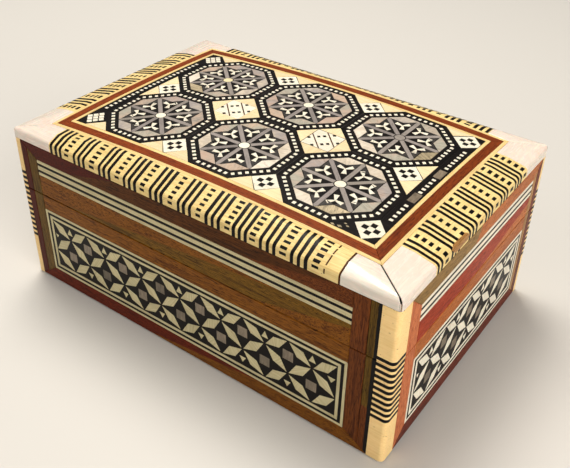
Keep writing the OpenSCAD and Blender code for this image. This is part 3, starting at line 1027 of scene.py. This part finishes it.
def make_pearl_corner(corner):
    """The two mitred plates at a corner, bent over the edges of the lid."""
    for side, hand in ((corner, -1), ((corner + 3) % 4, 1)):
        band = Band(side)
        other_width = Band((side + 1) % 4).width
        far = half_length(side)
        near_edge = far - other_width * band.arc_inset / band.width
        outline = [
            (hand * (far - PEARL_LENGTH), 0),
            (hand * (far - other_width), 0),
            (hand * near_edge, band.arc_start),
            (hand * far, band.arc_end),
            (hand * far, band.length),
            (hand * (far - PEARL_LENGTH), band.length),
        ]
        work = Marquetry(41 + corner * 2 + (hand > 0))
        cracked = corner == RIGHT and hand > 0
        bed, drop = ("black", CRACK_DEPTH) if cracked else ("tan", PEARL_THICK / 6)
        work.ground(outline, bed, drop, PEARL_THICK * 2 / 3)
        if cracked:
            # The mitre of the near corner has opened into a dark crack.
            plate = [(u - hand * OPEN_JOINT, s) for u, s in outline[1:5]]
            outline = [outline[0]] + plate + [outline[5]]
        work.tile(outline, "pearl", depth=PEARL_THICK, bevel=0.16)
        ends = sorted((hand * (far - PEARL_LENGTH), hand * far))
        bends = [hand * (far - EDGE_ROUND * i / 5) for i in range(1, 8)]
        work.piece(f"pearl_{CORNERS[corner]}_{SIDES[side]}", band.surface, "lid",
                   [f"pearl_corner_{CORNERS[corner]}"], "pearl",
                   steps(*ends, EDGE_STEP / 2) + bends,
                   steps(0, band.arc_start, EDGE_STEP / 3) + band.cuts())


# ---- Side panels ----

LEAF_WIDTH = 3.9


# Each panel's bone, also used for its lid stringing. The front and back panels take a darker copy of the
# ivory bone, which is painted shade; the right panel takes the whiter bone, which is painted light
# there.
PANEL_BONE = {FRONT: "shaded_ivory", RIGHT: "white", BACK: "shaded_ivory", LEFT: "ivory"}


def stringing_frame(work, u0, v0, u1, v1, finish):
    """Cream, black and cream lines mitred round a panel."""
    middle = ((u0 + u1) / 2, (v0 + v1) / 2)
    start = 0
    for width, line in ((0.95, finish), (1.0, "black"), (1.05, finish)):
        half_u = (u1 - u0) / 2 - start
        half_v = (v1 - v0) / 2 - start
        for outline, angle in frame_bars(half_u, half_v, width):
            moved = [(u + middle[0], v + middle[1]) for u, v in outline]
            work.tile(moved, line, angle, gap=0.03)
        start += width


def leaf(start, end, width):
    """A rhombus with its long diagonal from start to end."""
    (ax, ay), (bx, by) = start, end
    far = math.hypot(bx - ax, by - ay)
    across = Vector((-(by - ay), bx - ax)) / far * width / 2
    middle = ((ax + bx) / 2, (ay + by) / 2)
    return [
        (ax + 0.04 * (bx - ax), ay + 0.04 * (by - ay)),
        (middle[0] - across.x, middle[1] - across.y),
        (bx - 0.04 * (bx - ax), by - 0.04 * (by - ay)),
        (middle[0] + across.x, middle[1] + across.y),
    ]


def lattice(work, u0, v0, u1, v1, periods, finish):
    """Bone leaves along a diamond lattice, with shell squares and small triangles."""
    pitch = (u1 - u0) / periods
    rows = [v1 - 0.3, v1 - 0.3 * (v1 - v0), v1 - 0.655 * (v1 - v0), v0 + 0.3]
    for k in range(periods + 1):
        here = u0 + k * pitch
        for hand in (-1, 1):
            there = here + hand * pitch / 2
            if not u0 - 0.1 <= there <= u1 + 0.1:
                continue
            for near, far in ((0, 1), (2, 1), (2, 3)):
                # The real lattice is set by eye, so each leaf wanders a little.
                slip = work.chance.uniform(-0.18, 0.18)
                outline = leaf((here + slip, rows[near]), (there + slip, rows[far]), LEAF_WIDTH)
                for clip in ((0, u0 + 0.1, 1), (0, u1 - 0.1, -1), (1, v0 + 0.1, 1), (1, v1 - 0.1, -1)):
                    outline = clipped(outline, *clip)
                work.tile(outline, finish, angle=work.chance.uniform(0, 180))
        if 0 < k < periods:
            square = rectangle(here - 1.9, rows[1] - 1.9, here + 1.9, rows[1] + 1.9)
            work.tile(square, "square", angle=90, lift=-0.01)
            work.tile([(here - 1.3, v0 + 3.7), (here + 1.3, v0 + 3.7), (here, v0 + 1.4)], finish)
    for k in range(periods):
        here = u0 + (k + 0.5) * pitch
        square = rectangle(here - 1.9, rows[2] - 1.9, here + 1.9, rows[2] + 1.9)
        work.tile(square, "square", angle=90, lift=-0.01)
        work.tile([(here - 1.3, v1 - 3.7), (here + 1.3, v1 - 3.7), (here, v1 - 1.0)], finish)
    middle = (rows[0] + rows[2]) / 2
    work.tile([(u0 + 0.6, middle + 0.9), (u0 + 2.2, middle + 0.5), (u0 + 1.3, middle - 0.8)], finish)
    work.tile([(u1 - 3.2, middle + 1.1), (u1 - 0.4, middle + 1.1), (u1 - 1.8, middle - 1)], finish)


def panel_span(side, node):
    """u and z limits of a side node, seen from outside."""
    low, high = span(node)
    corners = ((low.x, high.x), (low.y, high.y), (-high.x, -low.x), (-high.y, -low.y))
    u0, u1 = corners[side]
    return u0, low.z, u1, high.z


def make_side_panel(side):
    name = SIDES[side]
    u0, v0, u1, v1 = panel_span(side, f"base_stringing_{name}")
    string_work = Marquetry(61 + side)
    ring = STRINGING_WIDTH
    for outline, angle in frame_bars((u1 - u0) / 2, (v1 - v0) / 2, ring):
        middle = ((u0 + u1) / 2, (v0 + v1) / 2)
        string_work.ground([(u + middle[0], v + middle[1]) for u, v in outline])
    stringing_frame(string_work, u0, v0, u1, v1, PANEL_BONE[side])
    string_work.piece(f"panel_stringing_{name}", side_surface(side), "base",
                      [f"base_stringing_{name}"], "bone")
    work = Marquetry(71 + side)
    work.ground(rectangle(u0 + ring, v0 + ring, u1 - ring, v1 - ring))
    periods = 4 if side % 2 else 7
    lattice(work, u0 + ring, v0 + ring, u1 - ring, v1 - ring, periods, PANEL_BONE[side])
    work.piece(f"panel_mosaic_{name}", side_surface(side), "base",
               [f"base_mosaic_{name}"], "side_mosaic")


def make_lid_stringing(side):
    name = SIDES[side]
    u0, v0, u1, v1 = panel_span(side, f"lid_stringing_{name}")
    bone_lines = PANEL_BONE[side]
    lines = ((1.1, bone_lines), (0.9, "black"), (1.5, bone_lines), (0.9, "black"), (1.1, bone_lines))
    scale = (v1 - v0) / sum(width for width, _ in lines)
    work = Marquetry(81 + side)
    top = v1
    for width, finish in lines:
        bottom = top - width * scale
        work.tile(rectangle(u0, bottom, u1, top), finish, gap=0.03)
        top = bottom
    work.piece(f"lid_stringing_{name}_inlay", side_surface(side), "lid",
               [f"lid_stringing_{name}"], "bone")


# ---- Corner sticks ----

STRIPE_BLACK = 1.25
STRIPE_PITCH = 2.2
# Heights between which each stick is striped, in the order of CORNERS.
STRIPED = ((17.5, 44.5), (17, 41), (17.5, 44.5), (17.5, 43.5))


def stick_outline(corner, low, high):
    """The plan of a corner stick, with its outer corner rounded."""
    sign_x = 1 if low.x + high.x > 0 else -1
    sign_y = 1 if low.y + high.y > 0 else -1
    outer_x = high.x if sign_x > 0 else low.x
    outer_y = high.y if sign_y > 0 else low.y
    inner_x = low.x if sign_x > 0 else high.x
    inner_y = low.y if sign_y > 0 else high.y
    outline = [(inner_x, inner_y), (inner_x, outer_y)]
    for i in range(9):
        angle = math.radians(90 - 90 * i / 8)
        u = outer_x - sign_x * EDGE_ROUND * (1 - math.cos(angle))
        v = outer_y - sign_y * EDGE_ROUND * (1 - math.sin(angle))
        outline.append((u, v))
    outline.append((outer_x, inner_y))
    return outline


def make_stick(corner, body):
    """A stick sawn from a block of stacked bone and black slices."""
    name = CORNERS[corner]
    low, high = span(f"{body}_column_{name}")
    outline = stick_outline(corner, low, high)
    work = Marquetry(91 + corner + (body == "lid") * 4)
    stripe_low, stripe_high = STRIPED[corner]
    borders = [low.z]
    z = stripe_low
    while z < stripe_high:
        borders += [z, z + STRIPE_BLACK]
        z += STRIPE_PITCH
    finishes = ["stick"] + ["black", "stick"] * (len(borders) // 2)
    borders.append(max(high.z, stripe_high + STRIPE_PITCH))
    for bottom, top, finish in zip(borders, borders[1:], finishes):
        bottom = max(bottom, low.z)
        top = min(top, high.z)
        if top - bottom > 0.15:
            work.tile(outline, finish, lift=top, depth=top - bottom, gap=0.03, bevel=0.04)
    work.piece(f"{body}_stick_{name}", plan_surface, body, [f"{body}_column_{name}"],
               "striped_bone", bevelled=corner > 1)


# ---- Veneer strips, from their CAD shapes ----


def parts_of(node):
    """The separate solids of a CAD node, each as a bmesh."""
    mesh = bmesh.new()
    mesh.from_mesh(frame["nodes"][node].data)
    bmesh.ops.remove_doubles(mesh, verts=mesh.verts[:], dist=1e-6)
    waiting = set(mesh.verts)
    groups = []
    while waiting:
        group = set()
        edge_of_group = [waiting.pop()]
        while edge_of_group:
            vert = edge_of_group.pop()
            group.add(vert)
            for edge in vert.link_edges:
                other = edge.other_vert(vert)
                if other in waiting:
                    waiting.discard(other)
                    edge_of_group.append(other)
        groups.append(group)
    for group in groups:
        part = bmesh.new()
        copies = {v: part.verts.new(v.co) for v in group}
        for face in mesh.faces:
            if face.verts[0] in group:
                part.faces.new([copies[v] for v in face.verts])
        yield part
    mesh.free()


def place_of(part):
    """Which side a part is on, and its u and z limits there."""
    low = [min(v.co[i] for v in part.verts) / MM for i in range(3)]
    high = [max(v.co[i] for v in part.verts) / MM for i in range(3)]
    gaps = (low[1] + HALF_Y, HALF_X - high[0], HALF_Y - high[1], low[0] + HALF_X)
    depths = (high[1] - low[1], high[0] - low[0], high[1] - low[1], high[0] - low[0])
    side = min(range(4), key=lambda s: (abs(gaps[s]) > 0.1, depths[s]))
    limits = ((low[0], high[0]), (low[1], high[1]), (-high[0], -low[0]), (-high[1], -low[1]))
    return side, *limits[side], low[2], high[2]


VENEER_EASE = 0.16


def along_side(side, co):
    return (co.x, co.y, -co.x, -co.y)[side] / MM


def veneer(name, part, body, node, finish, seed, splices=()):
    """A strip of wood with its grain along its length. Each splice is (finish, u, slant): another
    length of wood beyond the line through u, which leans by slant for each millimetre up."""
    side, u0, u1, z0, z1 = place_of(part)
    upright = z1 - z0 > u1 - u0
    bmesh.ops.dissolve_limit(part, angle_limit=math.radians(1), verts=part.verts[:],
                             edges=part.edges[:])
    if side != BACK:
        sharp = [e for e in part.edges if len(e.link_faces) == 2 and e.calc_face_angle() > 0.6]
        bmesh.ops.bevel(part, geom=sharp, offset=VENEER_EASE * MM, segments=1, affect="EDGES")
    finishes = [finish]
    for other, start, slant in splices:
        finishes.append(other)
        normal = turned(side, 1, 0, 0) - Vector((0, 0, slant))
        origin = turned(side, start, reach(side), (z0 + z1) / 2) * MM
        bmesh.ops.bisect_plane(part, geom=part.verts[:] + part.edges[:] + part.faces[:],
                               plane_co=origin, plane_no=normal)
        for face in part.faces:
            if (face.calc_center_median() - origin).dot(normal) > 0:
                face.material_index = len(finishes) - 1
    grain = part.verts.layers.float_vector.new("grain")
    tone = part.verts.layers.float.new("tone")
    chance = random.Random(seed)
    start = (chance.uniform(0, 400), chance.uniform(0, 400))
    shade = chance.uniform(-0.5, 0.5)
    for vert in part.verts:
        u = along_side(side, vert.co)
        v = vert.co.z / MM
        depth = max(abs(vert.co.x / MM), abs(vert.co.y / MM))
        along_grain, across_grain = (v, u) if upright else (u, v)
        vert[grain] = (along_grain + start[0], across_grain + start[1], depth)
        vert[tone] = shade
    materials = [FINISHES[item] for item in finishes]
    slots = {"mahogany": "mahogany", "foot": "mahogany", "darkred": "mahogany", "walnut": "walnut",
             "rosewood": "rosewood", "umber": "rosewood"}
    add_piece(name, part, materials, body, [node], slots.get(finish, "padauk"))


LONG_STRIPS = {
    "lid_upper_strips": ("darkred", "mottled", "umber", "orange"),
    "lid_lower_strips_long": ("walnut", "", "walnut", ""),
    "lid_lower_strips_short": ("", "redpadauk", "", "redpadauk"),
    "base_upper_strips_long": ("walnut", "", "walnut", ""),
    "base_upper_strips_short": ("", "orange", "", "padauk"),
    "base_foot_strips": ("foot", "foot", "foot", "foot"),
}
# The upright strips of each side from left to right, seen from outside.
UPRIGHTS = {
    FRONT: ("darkred", "olive", "rosewood", "olive"),
    RIGHT: ("padauk", "tan", "foot"),
    BACK: ("darkred", "olive", "rosewood", "olive"),
    LEFT: ("darkred", "tan", "tan", "padauk"),
}
SPLICES = {
    ("lid_upper_strips", RIGHT): [("orange", -3, 0.6)],
    ("lid_lower_strips_short", RIGHT): [("orange", 34, 8.4)],
    ("lid_upper_strips", FRONT): [("umber", -38, 4), ("rosewood", 40, 6)],
    ("lid_lower_strips_long", FRONT): [("golden", -8, 12), ("walnut", 48, 5)],
    ("base_foot_strips", FRONT): [("walnut", 6, 9)],
    ("base_upright_front_3", FRONT): [("olive", 68, -7), ("black", 68.3, 0)],
    ("lid_upright_front_3", FRONT): [("black", 68.5, 0)],
}
# Strips whose first length of wood isn't the one their side has elsewhere.
FIRST_LENGTH = {"base_upright_front_3": "rosewood"}


def make_veneers():
    seed = 200
    for node, finishes in LONG_STRIPS.items():
        body = node.split("_")[0]
        for part in parts_of(node):
            side = place_of(part)[0]
            seed += 1
            name = f"{node}_{SIDES[side]}"
            veneer(name, part, body, node, finishes[side], seed, SPLICES.get((node, side), ()))
    for body in ("base", "lid"):
        node = f"{body}_end_strips"
        by_side = {side: [] for side in range(4)}
        for part in parts_of(node):
            side, u0 = place_of(part)[:2]
            by_side[side].append((u0, len(by_side[side]), part))
        for side, parts in by_side.items():
            for number, (_, _, part) in enumerate(sorted(parts, key=lambda p: p[0])):
                name = f"{body}_upright_{SIDES[side]}_{number}"
                finish = UPRIGHTS[side][min(number, len(UPRIGHTS[side]) - 1)]
                finish = FIRST_LENGTH.get(name, finish)
                seed += 1
                veneer(name, part, body, node, finish, seed, SPLICES.get((name, side), ()))


# ---- Linings and felt ----

PAD_ROWS = 26
PILE_WAVE = 0.1


def make_pad(name, low, high, axis, face, body, node):
    """A velvet pad: flat behind, with a crowned, slightly uneven face and soft rims.
    axis is the way through it, and face is +1 or -1 for the side that shows."""
    across = [i for i in range(3) if i != axis]
    thick = high[axis] - low[axis]
    back = low[axis] if face > 0 else high[axis]
    size = [high[i] - low[i] for i in across]
    counts = [max(6, min(80, round(length / 1.6))) for length in size]
    mesh = bmesh.new()

    def corner(i, j, showing):
        share = (i / counts[0], j / counts[1])
        rim = min(min(s, 1 - s) * length for s, length in zip(share, size))
        swell = 1 - (1 - min(rim / (1.6 * thick), 1)) ** 2
        spot = [0.0, 0.0, 0.0]
        for place, s, length in zip(across, share, size):
            spot[place] = low[place] + s * length
        ripple = noise.noise(Vector(spot) * 0.09) + 0.5 * noise.noise(Vector(spot) * 0.25)
        full = thick * (0.62 + 0.3 * math.sqrt(swell)) + PILE_WAVE * ripple * swell
        spot[axis] = back + (face * min(full, thick) if showing else 0)
        return mesh.verts.new(Vector(spot) * MM)

    sheets = []
    for showing in (False, True):
        sheets.append([[corner(i, j, showing) for j in range(counts[1] + 1)]
                       for i in range(counts[0] + 1)])
    for sheet in sheets:
        for i in range(counts[0]):
            for j in range(counts[1]):
                mesh.faces.new((sheet[i][j], sheet[i + 1][j], sheet[i + 1][j + 1], sheet[i][j + 1]))
    rim = [(i, 0) for i in range(counts[0])] + [(counts[0], j) for j in range(counts[1])]
    rim += [(i, counts[1]) for i in range(counts[0], 0, -1)] + [(0, j) for j in range(counts[1], 0, -1)]
    for (i, j), (k, m) in zip(rim, rim[1:] + rim[:1]):
        mesh.faces.new((sheets[0][i][j], sheets[0][k][m], sheets[1][k][m], sheets[1][i][j]))
    pad = add_piece(name, mesh, [VELVET], body, [node], "velvet", 80)


def make_linings():
    for node, body in (("base_wall_linings", "base"), ("base_floor_pad", "base"),
                       ("lid_linings", "lid")):
        for number, part in enumerate(parts_of(node)):
            low = Vector([min(v.co[i] for v in part.verts) / MM for i in range(3)])
            high = Vector([max(v.co[i] for v in part.verts) / MM for i in range(3)])
            part.free()
            size = high - low
            axis = min(range(3), key=lambda i: size[i])
            if axis == 2:
                face = 1 if body == "base" else -1
            else:
                face = -1 if low[axis] + high[axis] > 0 else 1
            make_pad(f"{body}_velvet_pad_{node.split('_')[1]}_{number}", low, high, axis, face,
                     body, node)


def make_felt():
    """Thin felt under the box, with a slightly uneven face and softened edge."""
    low, high = span("underside_felt")
    mesh = bmesh.new()
    cells = (74, 49)
    sheets = []
    for upper in (False, True):
        rows = []
        for i in range(cells[0] + 1):
            row = []
            for j in range(cells[1] + 1):
                x = low.x + (high.x - low.x) * i / cells[0]
                y = low.y + (high.y - low.y) * j / cells[1]
                rim = i in (0, cells[0]) or j in (0, cells[1])
                nap = 0.05 * abs(noise.noise(Vector((x, y, 0)) * 0.4)) + 0.15 * rim
                z = high.z if upper else low.z + nap * (i * j > 0)
                row.append(mesh.verts.new(Vector((x, y, z)) * MM))
            rows.append(row)
        sheets.append(rows)
    for sheet in sheets:
        for i in range(cells[0]):
            for j in range(cells[1]):
                mesh.faces.new((sheet[i][j], sheet[i + 1][j], sheet[i + 1][j + 1], sheet[i][j + 1]))
    rim = [(i, 0) for i in range(cells[0])] + [(cells[0], j) for j in range(cells[1])]
    rim += [(i, cells[1]) for i in range(cells[0], 0, -1)] + [(0, j) for j in range(cells[1], 0, -1)]
    for (i, j), (k, m) in zip(rim, rim[1:] + rim[:1]):
        mesh.faces.new((sheets[0][i][j], sheets[0][k][m], sheets[1][k][m], sheets[1][i][j]))
    piece = add_piece("green_felt_sheet", mesh, [FELT], "base", ["underside_felt"], "felt", 80)


# ---- CAD nodes that keep their shape ----


def finish_cad_nodes():
    for name, node in frame["nodes"].items():
        if node.hide_render:
            continue
        if name.startswith("hinge_screws"):
            material = SCREW_BRASS
        elif name.startswith("hinge"):
            material = HINGE_BRASS
        else:
            material = SOFTWOOD
        for slot in node.material_slots:
            slot.link = "OBJECT"
            slot.material = material


# ---- Floor, light and camera ----


def make_floor():
    mesh = bpy.data.meshes.new("floor")
    half = 3
    corners = [(-half, -half, 0), (half, -half, 0), (half, half, 0), (-half, half, 0)]
    mesh.from_pydata(corners, [], [(0, 1, 2, 3)])
    floor = bpy.data.objects.new("floor", mesh)
    made = Finish("floor_paint", Roughness=0.6)
    made.link("Base Color", srgb(204, 201, 196))
    mesh.materials.append(made.material)
    bpy.context.scene.collection.objects.link(floor)


def area_light(name, size, power, colour, place, target=(0, 0, 0.03)):
    data = bpy.data.lights.new(name, "AREA")
    data.size = size
    data.energy = power
    data.color = colour
    lamp = bpy.data.objects.new(name, data)
    lamp.location = place
    lamp.rotation_euler = (Vector(target) - Vector(place)).to_track_quat("-Z", "Y").to_euler()
    bpy.context.scene.collection.objects.link(lamp)


def make_lights():
    area_light("key_light", 0.45, 9.5, (1, 0.95, 0.87), (-0.3, 0.2, 0.9))
    area_light("front_light", 0.7, 2.4, (1, 0.97, 0.93), (-0.3, -0.9, 0.7))
    area_light("right_light", 0.7, 9.5, (1, 0.95, 0.88), (0.9, -0.3, 0.5))
    world = bpy.data.worlds.new("studio")
    world.use_nodes = True
    world.node_tree.nodes["Background"].inputs["Color"].default_value = (1, 0.98, 0.95, 1)
    world.node_tree.nodes["Background"].inputs["Strength"].default_value = 0.16
    bpy.context.scene.world = world
    bpy.context.scene.view_settings.view_transform = "Standard"


IMAGE_WIDTH = 570
FOCAL_PIXELS = 787.7
AZIMUTH = math.radians(35.79)
ELEVATION = math.radians(33.91)
ROLL = math.radians(0.93)
DISTANCE = 0.28035
TARGET = Vector((0, 0, 0.0315))
CENTRE_OFFSET_PIXELS = (-8.46, -24.02)


def make_camera():
    data = bpy.data.cameras.new("camera")
    data.sensor_width = 36
    data.lens = data.sensor_width * FOCAL_PIXELS / IMAGE_WIDTH
    data.shift_x = -CENTRE_OFFSET_PIXELS[0] / IMAGE_WIDTH
    data.shift_y = CENTRE_OFFSET_PIXELS[1] / IMAGE_WIDTH
    data.clip_start = 0.01
    back = Vector((
        math.sin(AZIMUTH) * math.cos(ELEVATION),
        -math.cos(AZIMUTH) * math.cos(ELEVATION),
        math.sin(ELEVATION),
    ))
    level = Vector((math.cos(AZIMUTH), math.sin(AZIMUTH), 0))
    upright = back.cross(level)
    right = math.cos(ROLL) * level + math.sin(ROLL) * upright
    up = math.cos(ROLL) * upright - math.sin(ROLL) * level
    turn = Matrix((right, up, back)).transposed().to_4x4()
    camera = bpy.data.objects.new("camera", data)
    camera.matrix_world = Matrix.Translation(TARGET + back * DISTANCE) @ turn
    bpy.context.scene.collection.objects.link(camera)
    bpy.context.scene.camera = camera


make_top_mosaic()
make_lid_frames()
for side_number in range(4):
    make_band(side_number)
    make_pearl_corner(side_number)
    make_side_panel(side_number)
    make_lid_stringing(side_number)
    make_stick(side_number, "base")
    make_stick(side_number, "lid")
make_veneers()
make_linings()
make_felt()
finish_cad_nodes()
make_floor()
make_lights()
make_camera()
